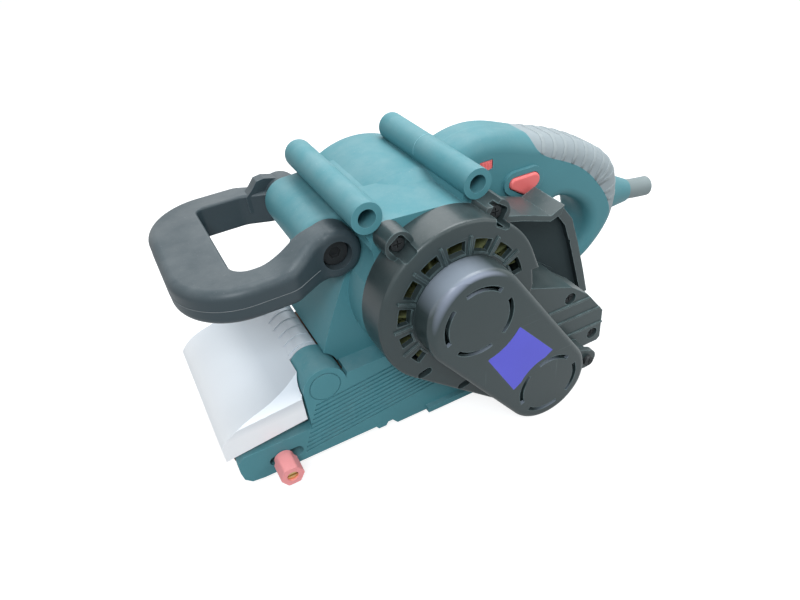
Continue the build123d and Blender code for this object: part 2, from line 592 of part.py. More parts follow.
# Square recesses for the heads in the lugs
for p in LUGS:
    out = math.degrees(math.atan2(p[1] - MOTOR[1], p[0] - MOTOR[0]))
    recess = Pos(*p) * Rot(0, 0, out) * RectangleRounded(LUG_RECESS, LUG_RECESS, 2.0)
    cap -= rod(p, SHANK_R, 50, CAP_FACE)
    cap -= prism(recess, LUG_SEAT, CAP_FACE + 5)
for p in (FRONT_TUBE, REAR_TUBE):
    cap -= rod(p, TUBE_R, 40, 70)
save("drive_housing", cap)
cap_screws = [screw(p, LUG_SEAT + HEAD, 30).solid() for p in LUGS]
cap_screws += [screw(p, LOW_SEAT + HEAD, LOW_SEAT + HEAD - WALL_IN).solid() for p in LOW_SCREWS]
save("housing_screws", Compound(cap_screws))

# Pulleys and toothed drive belt
def pulley(p, r, teeth, bore):
    body = tube(p, r, bore, PULLEY_Y0, PULLEY_Y1)
    for i in range(teeth):
        body -= rod(polar(p, r, 360.0 * i / teeth), 0.75, PULLEY_Y0 - 1, PULLEY_Y1 + 1)
    return body


save("small_pulley", pulley(MOTOR, SMALL_PULLEY_R, SMALL_TEETH, MOTOR_SHAFT_R))
save("large_pulley", pulley(DRIVE, LARGE_PULLEY_R, LARGE_TEETH, DRIVE_SHAFT_R))
inner_run = lobe(DRIVE, LARGE_PULLEY_R + RUN, MOTOR, SMALL_PULLEY_R + RUN)
outer_run = lobe(DRIVE, LARGE_PULLEY_R + RUN + DRIVE_BELT_T, MOTOR, SMALL_PULLEY_R + RUN + DRIVE_BELT_T)
save("drive_belt", prism(outer_run - inner_run, PULLEY_Y0 + 0.5, PULLEY_Y1 - 0.5))

# Belt cover with slotted discs and a plain plate
cover = prism(lobe(MOTOR, COVER_UP_R, COVER_END, COVER_LOW_R), CAP_FACE, COVER_FACE)
cover = fillet(cover.edges().group_by(Axis.Y)[-1], COVER_ROUND)
# Broad shoulder round the upper front, running out to the sides
SHOULDER_R = 5.8
SHOULDER_SHIFT = 8.0
SHOULDER_TURN = 32.0
dome_r = COVER_UP_R + SHOULDER_SHIFT + RUN
dome = rod(polar(MOTOR, -SHOULDER_SHIFT, SHOULDER_TURN), dome_r, CAP_FACE, COVER_FACE)
dome = fillet(dome.edges().group_by(Axis.Y)[-1], SHOULDER_R)
upper_front = Pos(*polar(MOTOR, 35, SHOULDER_TURN)) * Rot(0, 0, SHOULDER_TURN) * Rectangle(60, 100)
cover -= prism(upper_front, CAP_FACE + 1, COVER_FACE + 1) - dome
cover -= prism(lobe(MOTOR, COVER_UP_R - COVER_T, DRIVE, COVER_LOW_R - COVER_T), CAP_FACE - 1, CAP_FACE + 6)
core_face = lobe(MOTOR, COVER_UP_R - COVER_T - 0.6, DRIVE, COVER_LOW_R - COVER_T - 0.4)
core = prism(core_face, CAP_FACE - 1, COVER_FACE - COVER_T)
cover -= fillet(core.edges().group_by(Axis.Y)[-1], 3.0)
SLOT_R = 20.1
SLOT_W = 2.4
for centre in (MOTOR, DRIVE):
    for i in range(4):
        a = 90.0 * i + 10
        slot = sector(centre, SLOT_R - SLOT_W, SLOT_R, a - 32, a + 32)
        cover -= prism(slot, COVER_FACE - 8, COVER_FACE + 1)
axis_angle = math.degrees(math.atan2(MOTOR[1] - DRIVE[1], MOTOR[0] - DRIVE[0]))
mid = ((MOTOR[0] + DRIVE[0]) / 2, (MOTOR[1] + DRIVE[1]) / 2)
plate = Pos(*mid) * Rot(0, 0, axis_angle) * poly((15, -12), (15, 12), (-20, 15.5), (-20, -15.5))
plate = plate - disc(MOTOR, 28.0) - disc(DRIVE, 23.0)
PLATE_SINK = 0.3
cover -= prism(plate, COVER_FACE - PLATE_SINK, COVER_FACE + 1)
ear = lobe(DRIVE, 14, EAR, EAR_R) - disc(DRIVE, COVER_LOW_R - COVER_T)
cover += prism(ear, CAP_FACE, CAP_FACE + EAR_T)
cover -= rod(EAR, SHANK_R, CAP_FACE - 1, CAP_FACE + 10)
save("belt_cover", cover)
save("cover_screw", screw(EAR, CAP_FACE + EAR_T + HEAD, 18))
save("cover_plate", prism(plate, COVER_FACE - PLATE_SINK, COVER_FACE + 0.1))

# Dust duct with a ribbed foot
DUCT_FAR = 27.0
DUCT_MOUTH = 54.0
RIM_Y = 34.0
FOOT_Y = 64.0
DUCT_T = 3.0
rear_line = [(-111, 115.5), (-124, 104.8), (-135.8, 89.7), (-142.9, 69.6), (-149.7, 48.1), (-155.5, 28)]
rear_back = [(-150, 28), (-144, 47), (-137.5, 68), (-130.5, 87), (-120, 101), (-109, 110.5)]
top_line = [(-68, 122.5), (-83, 118.5), (-102, 111.8), (-111, 115.5)]
top_back = [(-109, 110.5), (-102, 108.4), (-83, 115), (-68, 119)]
foot_top = [(-72, 81), (-113.9, 65.2), (-126.7, 55.3), (-141.7, 36.5)]
foot_low = [(-142.8, 14), (-140.5, 12), (BASE_REAR, 12), (BASE_REAR, DECK_TOP), (-72, DECK_TOP)]
foot_face = poly(*foot_top, *foot_low)
far_face = poly(
    *top_line, *rear_line[1:], (-150, 28), (-142.8, 14), (BASE_REAR, 14), (BASE_REAR, DECK_TOP),
    (-68, DECK_TOP),
)
duct = prism(far_face, DUCT_FAR, DUCT_FAR + DUCT_T)
duct += prism(poly(*top_line, *top_back), DUCT_FAR, DUCT_MOUTH)
duct += prism(poly(*rear_line, *rear_back), DUCT_FAR, RIM_Y)
duct += prism(foot_face, DUCT_FAR, FOOT_Y)
# In front of the base wall the foot reaches the drive housing, with level ribs
foot_front = poly(*foot_top, (-142.8, 14), (-140.5, 12), (-96, 12), (-72, 45))
duct += prism(foot_front, WALL_OUT, FOOT_Y)
RIB_LEVELS = [51.7, 40.5, 27.3]
RIB_W = 1.4
RIB_H = 0.8
for z in RIB_LEVELS:
    rib = foot_front & (Pos(-110, z) * Rectangle(80, RIB_W))
    duct += prism(rib, FOOT_Y - 1, FOOT_Y + RIB_H)
heel = poly((-142, 62), (-154, RIM_Y), (-154, DUCT_FAR), (-142, DUCT_FAR))
duct += Pos(0, 0, 14) * extrude(heel, amount=14, dir=(0, 0, 1))
# Air way from the base inlet up to the open mouth
DUCT_IN = DUCT_FAR + DUCT_T + 0.5
duct -= block(-138, -109, DUCT_IN, 50, 18, 48)
duct -= block(-136, -114, DUCT_IN, 44, 40, 75)
duct += rod(EAR, 5.0, FOOT_Y - 8, CAP_FACE)
duct -= rod(EAR, SHANK_R, FOOT_Y - 6, CAP_FACE + 1)
duct -= rod(MOTOR, BARREL_R, -60, BARREL_LEFT + 1)
duct -= prism(cap_outline(BARREL_R, CAP_LOW_R), WALL_OUT, CAP_FACE + 1)
duct -= block(BASE_REAR, 0, 0, WALL_OUT, -10, DECK_TOP)
FOOT_SCREWS = [(-113.6, 56.8), (-135.5, 20.1)]
FOOT_SEAT = FOOT_Y - 4.0
for p in FOOT_SCREWS:
    duct += rod(p, WELL_R + WELL_T, FOOT_Y - 8, FOOT_Y)
    duct -= rod(p, WELL_R, FOOT_SEAT, FOOT_Y + 1)
    duct -= rod(p, SHANK_R, 20, FOOT_Y + 1)
save("dust_duct", duct)
save("duct_screws", Compound([screw(p, FOOT_SEAT + HEAD, 28).solid() for p in FOOT_SCREWS]))

# Rear handle outline, drawn as smooth loops
handle_out = [
    (-52, 141), (-66, 147.2), (-79, 149.6), (-94, 148.3), (-115, 141.4), (-137, 134.2), (-160, 124.0),
    (-174, 115.0), (-183.2, 104.6), (-187.4, 92), (-188.2, 79), (-185.8, 67), (-179.5, 56), (-168.8, 45),
    (-155.5, 36.6), (-138, 30.5), (-110, 26.5), (-80, 28), (-56, 38), (-42, 65), (-38, 100), (-42, 128),
]
handle_in = [
    (-124, 62), (-122.5, 80), (-127, 91.5), (-136, 96.2), (-148, 92.4), (-158, 84.5), (-163.5, 72),
    (-161, 59.5), (-152, 51), (-138, 48.3), (-128, 51.5),
]


def inset(points, d):
    """Moves the points of a closed loop inwards by d."""
    moved = []
    count = len(points)
    for i, p in enumerate(points):
        a = points[i - 1]
        b = points[(i + 1) % count]
        size = math.dist(a, b)
        moved.append((p[0] - d * (b[1] - a[1]) / size, p[1] + d * (b[0] - a[0]) / size))
    return moved


def handle_solid(outer, half, edge):
    face = make_face(Spline(*outer, periodic=True))
    body = prism(face, HANDLE_MID - half, HANDLE_MID + half)
    ends = body.edges().group_by(Axis.Y)
    return fillet(ends[0] + ends[-1], edge)


GRIP_T = 1.8
HANDLE_ROUND = 10.0
full = handle_solid(handle_out, HANDLE_HALF, HANDLE_ROUND)
inner = handle_solid(inset(handle_out, GRIP_T), HANDLE_HALF - GRIP_T, HANDLE_ROUND - GRIP_T)
hand_hole = prism(make_face(Spline(*handle_in, periodic=True)), -60, 60)
full -= hand_hole
rim = []
for edge in full.edges():
    on_side = abs(abs(edge.center().Y - HANDLE_MID) - HANDLE_HALF) < 0.1
    if on_side and edge.is_closed and edge.length < 200:
        rim.append(edge)
full = fillet(rim, 7.0)
grip_edge = Spline(
    (-112, 165), (-113.2, 146), (-116.5, 134.5), (-135, 122), (-151.5, 112.6), (-168, 96.5), (-178, 81),
    (-182, 60),
)
grip_zone = make_face([grip_edge, Polyline(grip_edge @ 1, (-215, 54), (-215, 165), grip_edge @ 0)])
grip = (full - inner) & prism(grip_zone, -40, 40)
EXIT = Plane(origin=(-186, HANDLE_MID, 79.0), x_dir=(0, 1, 0), z_dir=(-0.972, 0, -0.235))
gland = EXIT * Cone(13.0, 8.0, 21.0, align=(Align.CENTER, Align.CENTER, Align.MIN))
grip -= gland
SLEEVE_R = 6.7
SLEEVE_BORE_R = 3.6
sleeve_line = Spline((-194, HANDLE_MID, 77.1), (-212, HANDLE_MID, 73.4), (-228, HANDLE_MID, 71.0))
sleeve_start = Plane(origin=sleeve_line @ 0, z_dir=sleeve_line % 0)
sleeve = sweep(sleeve_start * Circle(SLEEVE_R), path=sleeve_line)
sleeve_bore = sweep(sleeve_start * Circle(SLEEVE_BORE_R), path=sleeve_line)

# Switch, trigger and lock button sit inside the grip
TRIGGER = (-130.5, 86.0)
TRIGGER_END = (-117.0, 97.2)
TRIGGER_R = 6.5
TRIGGER_Y0 = -6.0
TRIGGER_Y1 = 12.0
TRIGGER_TRAVEL = 5.0
pull = math.degrees(math.atan2(TRIGGER_END[1] - TRIGGER[1], TRIGGER_END[0] - TRIGGER[0]))
pocket_end = polar(TRIGGER_END, TRIGGER_TRAVEL + 1, pull)
pocket_face = lobe(TRIGGER, TRIGGER_R + FREE, pocket_end, TRIGGER_R + FREE - 0.001)
trigger_pocket = prism(pocket_face, TRIGGER_Y0 - FREE, TRIGGER_Y1 + FREE)
SWITCH = (-129.0, -99.0, -8.0, 14.0, 110.0, 127.0)
switch = block(*SWITCH)
PLUNGER_R = 2.5
plunger_dir = (math.cos(math.radians(pull)), 0, math.sin(math.radians(pull)))
plunger_plane = Plane(origin=(TRIGGER_END[0], HANDLE_MID, TRIGGER_END[1]), x_dir=(0, 1, 0), z_dir=plunger_dir)
PLUNGER_LEN = 22.0
plunger = plunger_plane * Cylinder(PLUNGER_R, PLUNGER_LEN, align=ALIGN_LOW)
plunger_way = plunger_plane * Cylinder(PLUNGER_R + FREE, PLUNGER_LEN + TRIGGER_TRAVEL + 1, align=ALIGN_LOW)
trigger = prism(lobe(TRIGGER, TRIGGER_R, TRIGGER_END, TRIGGER_R - 0.001), TRIGGER_Y0, TRIGGER_Y1)
trigger += plunger
save("trigger", trigger)
switch -= plunger_way
save("switch", switch)
LOCK = [(-100.6, 118.3), (-113.2, 117.2), (-109.3, 113.2)]
LOCK_R = [3.6, 4.6, 4.2]
lock_face = poly(*LOCK) + lobe(LOCK[0], LOCK_R[0], LOCK[1], LOCK_R[1])
lock_face = lock_face + lobe(LOCK[1], LOCK_R[1], LOCK[2], LOCK_R[2])
lock_face = lock_face + lobe(LOCK[0], LOCK_R[0], LOCK[2], LOCK_R[2])
LOCK_Y1 = 23.6
LOCK_Y0 = 17.5
LOCK_TRAVEL = 3.0
BEZEL_W = 3.4
bezel_face = offset(lock_face, BEZEL_W)
lock = prism(lock_face, LOCK_Y0, LOCK_Y1)
lock = fillet(lock.edges().group_by(Axis.Y)[-1], 1.5)
save("lock_button", lock)
lock_pocket = prism(offset(lock_face, FREE), LOCK_Y0 - LOCK_TRAVEL - 0.5, 40)

# Speed dial and its control unit
DIAL = (-82.5, 15.2)
DIAL_Z0 = 131.5
DIAL_Z1 = 136.0
DIAL_R = 6.0
dial = Pos(*DIAL, DIAL_Z0) * Cylinder(DIAL_R, DIAL_Z1 - DIAL_Z0, align=ALIGN_LOW)
for i in range(20):
    at = polar(DIAL, DIAL_R, 18 * i)
    dial -= Pos(*at, DIAL_Z0 - 1) * Cylinder(0.45, 8, align=ALIGN_LOW)
DIAL_SHAFT_R = 1.6
dial += Pos(*DIAL, DIAL_Z0 - 4) * Cylinder(DIAL_SHAFT_R, 4, align=ALIGN_LOW)
save("speed_dial", dial)
DIAL_H = DIAL_Z1 - DIAL_Z0
dial_pocket = Pos(*DIAL, DIAL_Z0 - FREE) * Cylinder(DIAL_R + FREE, DIAL_H + 2 * FREE, align=ALIGN_LOW)
UNIT = (-90.0, -76.0, 9.0, 17.0, 121.0, DIAL_Z0 - 1.0)
unit = block(*UNIT) - Pos(*DIAL, DIAL_Z0 - 5) * Cylinder(DIAL_SHAFT_R + RUN, 9, align=ALIGN_LOW)
save("speed_unit", unit)

# Cut the handle to its neighbours and split it at the middle
body = full - grip
body += prism(bezel_face, 16, 22.0)
body += gland
body -= block(-64, 0, -60, 60, 0, 200)
body -= barrel
body -= block(BASE_REAR, 0, -60, 60, 0, DECK_TOP)
body -= trigger_pocket + plunger_way + block(*SWITCH) + lock_pocket + dial_pocket + block(*UNIT)
body -= Pos(*DIAL, DIAL_Z0 - 5) * Cylinder(DIAL_SHAFT_R + FREE, 5, align=ALIGN_LOW)
body -= sleeve
body -= EXIT * Pos(0, 0, -12) * Cylinder(SLEEVE_BORE_R, 22, align=ALIGN_LOW)
HANDLE_SCREWS = [(-88, 96), (-92, 140), (-147, 106.5), (-169.5, 74), (-165, 52.5), (-128, 39)]
handle_screws = []
SINK = HANDLE_MID - HANDLE_HALF + 3.0
for p in HANDLE_SCREWS:
    body -= rod(p, SHANK_R, SINK - 1, HANDLE_MID + 10)
    body -= rod(p, HEAD_R + FREE, HANDLE_MID - HANDLE_HALF - 1, SINK)
    fixing = rod(p, HEAD_R, SINK - HEAD, SINK) + rod(p, SHANK_R, SINK, HANDLE_MID + 8)
    fixing -= block(p[0] - HEAD, p[0] + HEAD, SINK - HEAD - 1, SINK - 1.2, p[1] - 0.4, p[1] + 0.4)
    handle_screws.append(fixing.solid())
left = body & block(-260, 0, HANDLE_MID, 80, -10, 200)
right = body & block(-260, 0, -80, HANDLE_MID, -10, 200)
save("handle_left", left)
save("handle_right", right)
save("grip_skin", grip)
save("handle_screws", Compound(handle_screws))
save("cord_sleeve", sleeve - sleeve_bore)

# Front bail handle on two pivot bolts
BAIL_LEFT = 52.8
BAIL_RIGHT = -53.4
BAIL_FRONT = 95.8
BAIL_BACK = 67.2
BAIL_LOW = 112.3
BAIL_TOP = 130.3
BOSS_T = 14.0
BOSS_LEFT = NECK_LEFT + FREE
BOSS_RIGHT = NECK_RIGHT - FREE
ARM_START = 8.0
CORNER_R = 33.0
BEND_R = 12.0
plan = poly(
    (ARM_START, BOSS_RIGHT - BOSS_T), (27, BOSS_RIGHT - BOSS_T), (41, BAIL_RIGHT), (BAIL_FRONT, BAIL_RIGHT),
    (BAIL_FRONT, BAIL_LEFT), (43, BAIL_LEFT), (27, BOSS_LEFT + BOSS_T), (ARM_START, BOSS_LEFT + BOSS_T),
)
plan = fillet(plan.vertices().group_by(Axis.X)[-1], CORNER_R)
plan = fillet([v for v in plan.vertices() if 25 < v.X < 45], BEND_R)
hoop = extrude(Pos(0, 0, BAIL_LOW) * plan, amount=NECK_TOP + 1 - BAIL_LOW, dir=(0, 0, 1))
# The left arm swells up to its boss, and the rest has a level top
SWELL_FRONT = 52.0
swell = Spline((SWELL_FRONT, BAIL_TOP), (PIVOT[0] + 3, NECK_TOP - 0.3), tangents=((-1, 0), (-1, 0.05)))
over = Polyline(swell @ 1, (-10, NECK_TOP - 0.3), (-10, 160), (120, 160), (120, BAIL_TOP), swell @ 0)
hoop -= prism(make_face([swell, over]), 0, 80)
hoop -= block(-10, 120, -80, 0, BAIL_TOP, 160)
BAIL_ROUND = 4.5
outer_rims = []
for edge in hoop.edges():
    box = edge.bounding_box()
    level = box.max.Z < BAIL_LOW + 0.1 or box.min.Z > BAIL_TOP - 0.1
    across = box.size.X < 0.1 and box.max.X < BAIL_FRONT - 0.1
    inside = box.size.Y < 0.1 and abs(box.max.Y) < 1
    if level and not across and not inside:
        outer_rims.append(edge)
hoop = fillet(outer_rims, BAIL_ROUND)
gap = poly(
    (0, BOSS_RIGHT), (28, BOSS_RIGHT), (42, -37.2), (BAIL_BACK, -37.2), (BAIL_BACK, 37.0), (54, 37.0),
    (33, BOSS_LEFT), (0, BOSS_LEFT),
)
gap = fillet([v for v in gap.vertices() if v.X > 60 and v.Y > 0], 9.0)
gap = fillet([v for v in gap.vertices() if v.X > 60 and v.Y < 0], 4.0)
gap = fillet([v for v in gap.vertices() if 25 < v.X < 55], BEND_R)
opening = extrude(Pos(0, 0, BAIL_LOW - 1) * gap, amount=40, dir=(0, 0, 1))
bail = hoop - opening
inner_rims = []
for edge in new_edges(hoop, opening, combined=bail):
    size = edge.bounding_box().size
    if size.X + size.Y > 1:
        inner_rims.append(edge)
bail = fillet(inner_rims, 1.6)
bail -= block(0, PIVOT[0], -80, 80, 100, 150)
# Bosses, the right one with a humped shoulder down to its arm
BOSS_ROUND = 3.5
under = [(39, 120), (24, 114)]
right_top = [PIVOT, (PIVOT[0] + 2, NECK_TOP - 2.6), (27, NECK_TOP - 0.8), (31.5, 136.8), (35, 132.8)]
right_top.append((39, BAIL_TOP - 1))
RIGHT_BOSS_R = PIVOT_R - 2.2
for y0, r in ((BOSS_RIGHT - BOSS_T, RIGHT_BOSS_R), (BOSS_LEFT, PIVOT_R)):
    boss = rod(PIVOT, r, y0, y0 + BOSS_T)
    bail += fillet(boss.edges().group_by(Axis.Y)[0 if y0 < 0 else -1], BOSS_ROUND)
bail += prism(poly(*right_top, *under), BOSS_RIGHT - BOSS_T + BOSS_ROUND, BOSS_RIGHT - BOSS_ROUND)
BOLT_HEAD_R = 6.5
BOLT_HEAD_H = 3.6
BOLT_SEAT = 8.0
BOLT_WELL_R = 7.6
WELL_LEFT = BOSS_LEFT + BOSS_T - BOLT_SEAT
WELL_RIGHT = BOSS_RIGHT - BOSS_T + BOLT_SEAT
bail -= rod(PIVOT, BOLT_WELL_R, WELL_LEFT, WELL_LEFT + 40)
bail -= rod(PIVOT, BOLT_WELL_R, WELL_RIGHT - 40, WELL_RIGHT)
bail -= rod(PIVOT, BOLT_R + RUN, -80, 80)
save("bail_handle", bail)
key = Pos(*PIVOT) * RegularPolygon(3.4, 6)
left_head = WELL_LEFT + FREE
bolt_l = rod(PIVOT, BOLT_HEAD_R, left_head, left_head + BOLT_HEAD_H) + rod(PIVOT, BOLT_R, 14, left_head)
bolt_l -= prism(key, left_head + 1.2, left_head + BOLT_HEAD_H + 1)
right_head = WELL_RIGHT - FREE
bolt_r = rod(PIVOT, BOLT_HEAD_R, right_head - BOLT_HEAD_H, right_head) + rod(PIVOT, BOLT_R, right_head, -10)
bolt_r -= prism(key, right_head - BOLT_HEAD_H - 1, right_head - 1.2)
save("pivot_bolts", Compound([bolt_l.solid(), bolt_r.solid()]))
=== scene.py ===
import json
import math

import bpy
import bmesh
from mathutils import Matrix, Vector


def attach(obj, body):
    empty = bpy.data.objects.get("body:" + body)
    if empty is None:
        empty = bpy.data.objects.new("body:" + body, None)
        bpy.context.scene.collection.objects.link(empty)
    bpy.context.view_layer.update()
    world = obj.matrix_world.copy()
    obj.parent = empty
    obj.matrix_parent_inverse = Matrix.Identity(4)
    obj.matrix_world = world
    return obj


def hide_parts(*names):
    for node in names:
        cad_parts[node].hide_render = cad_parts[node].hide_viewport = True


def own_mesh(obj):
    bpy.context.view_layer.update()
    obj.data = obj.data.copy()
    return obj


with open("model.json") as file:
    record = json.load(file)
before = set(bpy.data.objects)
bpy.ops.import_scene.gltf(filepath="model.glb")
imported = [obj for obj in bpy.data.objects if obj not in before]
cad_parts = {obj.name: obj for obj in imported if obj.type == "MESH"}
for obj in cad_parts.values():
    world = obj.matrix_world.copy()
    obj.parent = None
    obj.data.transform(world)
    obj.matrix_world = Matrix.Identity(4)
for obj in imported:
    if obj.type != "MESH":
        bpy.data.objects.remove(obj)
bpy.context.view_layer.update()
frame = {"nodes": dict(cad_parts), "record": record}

NODES = frame["nodes"]
MM = 0.001

# Camera at the photo's place: position in metres, axes, lens in millimetres, shift as a share of the picture
CAM_POS = (0.09617, 0.28607, 0.28262)
CAM_RIGHT = Vector((-0.8765, 0.4753, -0.0760))
CAM_UP = Vector((-0.3657, -0.5549, 0.7472))
CAM_BACK = Vector((0.3130, 0.6827, 0.6603))
SENSOR_WIDTH = 36.0
LENS = 27.54
LENS_SHIFT = (-0.0136, 0.0639)
NEAREST = 0.01


def make_camera():
    data = bpy.data.cameras.new("camera")
    data.sensor_width = SENSOR_WIDTH
    data.lens = LENS
    data.shift_x, data.shift_y = LENS_SHIFT
    data.clip_start = NEAREST
    cam = bpy.data.objects.new("camera", data)
    bpy.context.scene.collection.objects.link(cam)
    turn = Matrix((CAM_RIGHT, CAM_UP, CAM_BACK)).transposed().to_4x4()
    cam.matrix_world = Matrix.Translation(CAM_POS) @ turn
    bpy.context.scene.camera = cam


make_camera()


def node(tree, kind, **values):
    """New shader node with its settings."""
    made = tree.nodes.new(kind)
    for key, value in values.items():
        setattr(made, key, value)
    return made


def feed(tree, target, **values):
    """Fill a node's sockets: an output socket is linked, anything else is a plain value."""
    for label, value in values.items():
        socket = target.inputs[label.replace("_", " ")]
        if isinstance(value, bpy.types.NodeSocket):
            tree.links.new(value, socket)
        else:
            socket.default_value = value


def new_group(name, inputs, outputs):
    group = bpy.data.node_groups.new(name, "ShaderNodeTree")
    for label, start in inputs.items():
        kind = "NodeSocketColor" if isinstance(start, tuple) else "NodeSocketFloat"
        made = group.interface.new_socket(label, in_out="INPUT", socket_type=kind)
        made.default_value = start
    for label in outputs:
        kind = "NodeSocketColor" if label == "Color" else "NodeSocketFloat"
        group.interface.new_socket(label, in_out="OUTPUT", socket_type=kind)
    return group, node(group, "NodeGroupInput").outputs, node(group, "NodeGroupOutput")


def noise(tree, vector, scale, detail=2.0, roughness=0.5):
    made = node(tree, "ShaderNodeTexNoise")
    feed(tree, made, Vector=vector, Scale=scale, Detail=detail, Roughness=roughness)
    return made.outputs["Fac"]


def remap(tree, value, low, high, to_low=0.0, to_high=1.0):
    made = node(tree, "ShaderNodeMapRange")
    feed(tree, made, Value=value, From_Min=low, From_Max=high, To_Min=to_low, To_Max=to_high)
    return made.outputs["Result"]


def math_node(tree, operation, first, second):
    made = node(tree, "ShaderNodeMath", operation=operation)
    for socket, value in zip(made.inputs, (first, second)):
        if isinstance(value, bpy.types.NodeSocket):
            tree.links.new(value, socket)
        else:
            socket.default_value = value
    return made.outputs[0]


def mix_color(tree, factor, first, second):
    made = node(tree, "ShaderNodeMix", data_type="RGBA")
    for label, value in (("Factor", factor), ("A", first), ("B", second)):
        socket = [s for s in made.inputs if s.name == label and s.enabled][0]
        if isinstance(value, bpy.types.NodeSocket):
            tree.links.new(value, socket)
        else:
            socket.default_value = value
    return [s for s in made.outputs if s.enabled][0]


GREY_START = (0.5, 0.5, 0.5, 1.0)


def make_moulded_group():
    """Slow drift of a moulded colour and the fine grain of its tool."""
    inputs = {"Color": GREY_START, "Variation": 0.06, "Grain Scale": 2000.0}
    group, given, result = new_group("moulded_grain", inputs, ("Color", "Height", "Drift"))
    place = node(group, "ShaderNodeTexCoord").outputs["Object"]
    drift = remap(group, noise(group, place, scale=22.0, detail=3.0), 0.3, 0.7)
    low = math_node(group, "SUBTRACT", 1.0, given["Variation"])
    high = math_node(group, "ADD", 1.0, given["Variation"])
    gain = remap(group, drift, 0.0, 1.0, low, high)
    scaled = node(group, "ShaderNodeVectorMath", operation="SCALE")
    feed(group, scaled, Scale=gain)
    group.links.new(given["Color"], scaled.inputs[0])
    grain = noise(group, place, given["Grain Scale"])
    feed(group, result, Color=scaled.outputs["Vector"], Height=grain, Drift=drift)
    return group


def make_edge_group():
    """Pale edges, found where the normal turns quickly: partly wear from rubbing, partly a painted highlight
    along the edge.
    """
    inputs = {"Color": GREY_START, "Edge Color": GREY_START, "Width": 0.0006, "Amount": 0.5}
    group, given, result = new_group("rubbed_and_highlit_edges", inputs, ("Color", "Mask"))
    round_normal = node(group, "ShaderNodeBevel", samples=6)
    feed(group, round_normal, Radius=given["Width"])
    true_normal = node(group, "ShaderNodeNewGeometry").outputs["Normal"]
    turn = node(group, "ShaderNodeVectorMath", operation="DOT_PRODUCT")
    group.links.new(round_normal.outputs["Normal"], turn.inputs[0])
    group.links.new(true_normal, turn.inputs[1])
    edge = remap(group, turn.outputs["Value"], 0.99, 0.86)
    place = node(group, "ShaderNodeTexCoord").outputs["Object"]
    spots = noise(group, place, scale=180.0, detail=4.0, roughness=0.6)
    patchy = remap(group, spots, 0.36, 0.62, to_low=0.25)
    wear_and_highlight = math_node(group, "MULTIPLY", math_node(group, "MULTIPLY", edge, patchy), given["Amount"])
    feed(group, result, Color=mix_color(group, wear_and_highlight, given["Color"], given["Edge Color"]), Mask=wear_and_highlight)
    return group


def make_dust_group():
    """Fine sanding dust that settles in patches on faces that look up."""
    inputs = {"Color": GREY_START, "Dust Color": (0.62, 0.63, 0.62, 1.0), "Amount": 0.1}
    group, given, result = new_group("settled_dust", inputs, ("Color", "Mask"))
    place = node(group, "ShaderNodeTexCoord").outputs["Object"]
    normal = node(group, "ShaderNodeNewGeometry").outputs["Normal"]
    split = node(group, "ShaderNodeSeparateXYZ")
    group.links.new(normal, split.inputs[0])
    upward = remap(group, split.outputs["Z"], 0.0, 0.95)
    patches = remap(group, noise(group, place, scale=55.0, detail=6.0, roughness=0.62), 0.36, 0.74)
    specks = remap(group, noise(group, place, scale=900.0, detail=1.0), 0.68, 0.76, to_high=0.7)
    lying = math_node(group, "MULTIPLY", math_node(group, "ADD", patches, specks), upward)
    amount = math_node(group, "MULTIPLY", lying, given["Amount"])
    feed(group, result, Color=mix_color(group, amount, given["Color"], given["Dust Color"]), Mask=amount)
    return group


def make_scuff_group():
    """Short pale scratches from handling, in two directions."""
    inputs = {"Color": GREY_START, "Mark Color": GREY_START, "Amount": 0.3}
    group, given, result = new_group("handling_scuffs", inputs, ("Color", "Mask"))
    place = node(group, "ShaderNodeTexCoord").outputs["Object"]
    marks = []
    for turn, stretch in ((0.6, (900.0, 900.0, 26.0)), (-0.9, (26.0, 900.0, 900.0))):
        lay = node(group, "ShaderNodeMapping")
        lay.inputs["Rotation"].default_value = (turn, 0.4 * turn, 0.3)
        lay.inputs["Scale"].default_value = stretch
        group.links.new(place, lay.inputs["Vector"])
        marks.append(remap(group, noise(group, lay.outputs["Vector"], scale=1.0, detail=1.0), 0.70, 0.78))
    lines = math_node(group, "MAXIMUM", marks[0], marks[1])
    where = remap(group, noise(group, place, scale=40.0), 0.52, 0.66)
    amount = math_node(group, "MULTIPLY", math_node(group, "MULTIPLY", lines, where), given["Amount"])
    feed(group, result, Color=mix_color(group, amount, given["Color"], given["Mark Color"]), Mask=amount)
    return group


MOULDED = make_moulded_group()
EDGE_WEAR_AND_HIGHLIGHT = make_edge_group()
DUST = make_dust_group()
SCUFFS = make_scuff_group()


def new_material(name):
    mat = bpy.data.materials.new(name)
    mat.use_nodes = True
    tree = mat.node_tree
    tree.nodes.clear()
    out = node(tree, "ShaderNodeOutputMaterial")
    shader = node(tree, "ShaderNodeBsdfPrincipled")
    tree.links.new(shader.outputs["BSDF"], out.inputs["Surface"])
    return mat, tree, shader


EDGE_PALE = 0.03
GRAIN_DEPTH = 0.4
DUST_DULL = 0.4
DRIFT_DULL = 0.10


